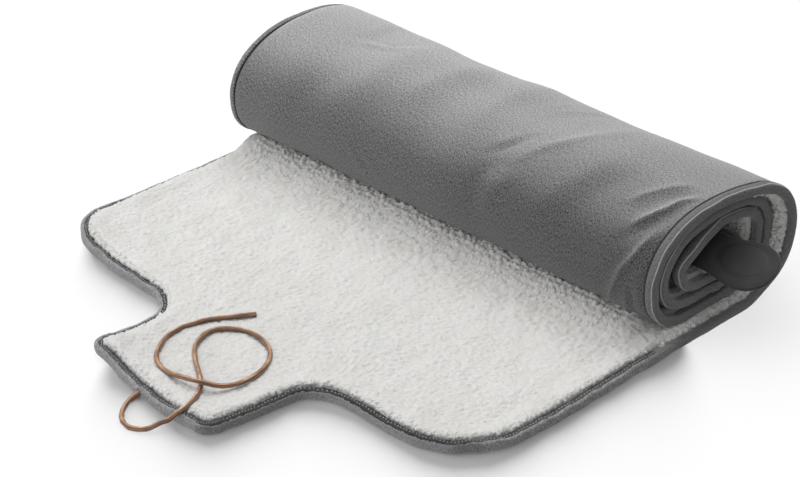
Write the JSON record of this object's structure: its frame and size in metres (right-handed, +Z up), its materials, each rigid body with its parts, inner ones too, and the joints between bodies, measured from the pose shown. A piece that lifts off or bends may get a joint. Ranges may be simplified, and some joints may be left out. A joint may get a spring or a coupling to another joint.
{
  "type": "rolled electric heated blanket mat",
  "caption": "Padded heated mat lying partly rolled: grey cotton back, curly off-white fleece face, bound edge with a tongue, leather tie lace and a soft black control tab.",
  "frame": {"origin": "middle of the object's floor area, on the surface it lies on", "axes": "+Z is up; +X runs along the axis of the roll towards the end with the control tab; the flap and its tongue point to -Y"},
  "size_m": [0.5437, 0.516, 0.1105],
  "materials": {
    "cotton": "fine grey woven cotton",
    "fleece": "off-white curly fleece",
    "tape": "grey cotton edge tape with a row of stitches",
    "lace": "tan round leather lace",
    "tab": "black soft patch",
    "button": "matt black pressed oval"
  },
  "bodies": {
    "root": {"back_panel": "cotton", "fleece_panel": "fleece", "binding": "tape", "tie_cord": "lace", "control_tab": "tab", "control_button": "button"}
  },
  "joints": []
}
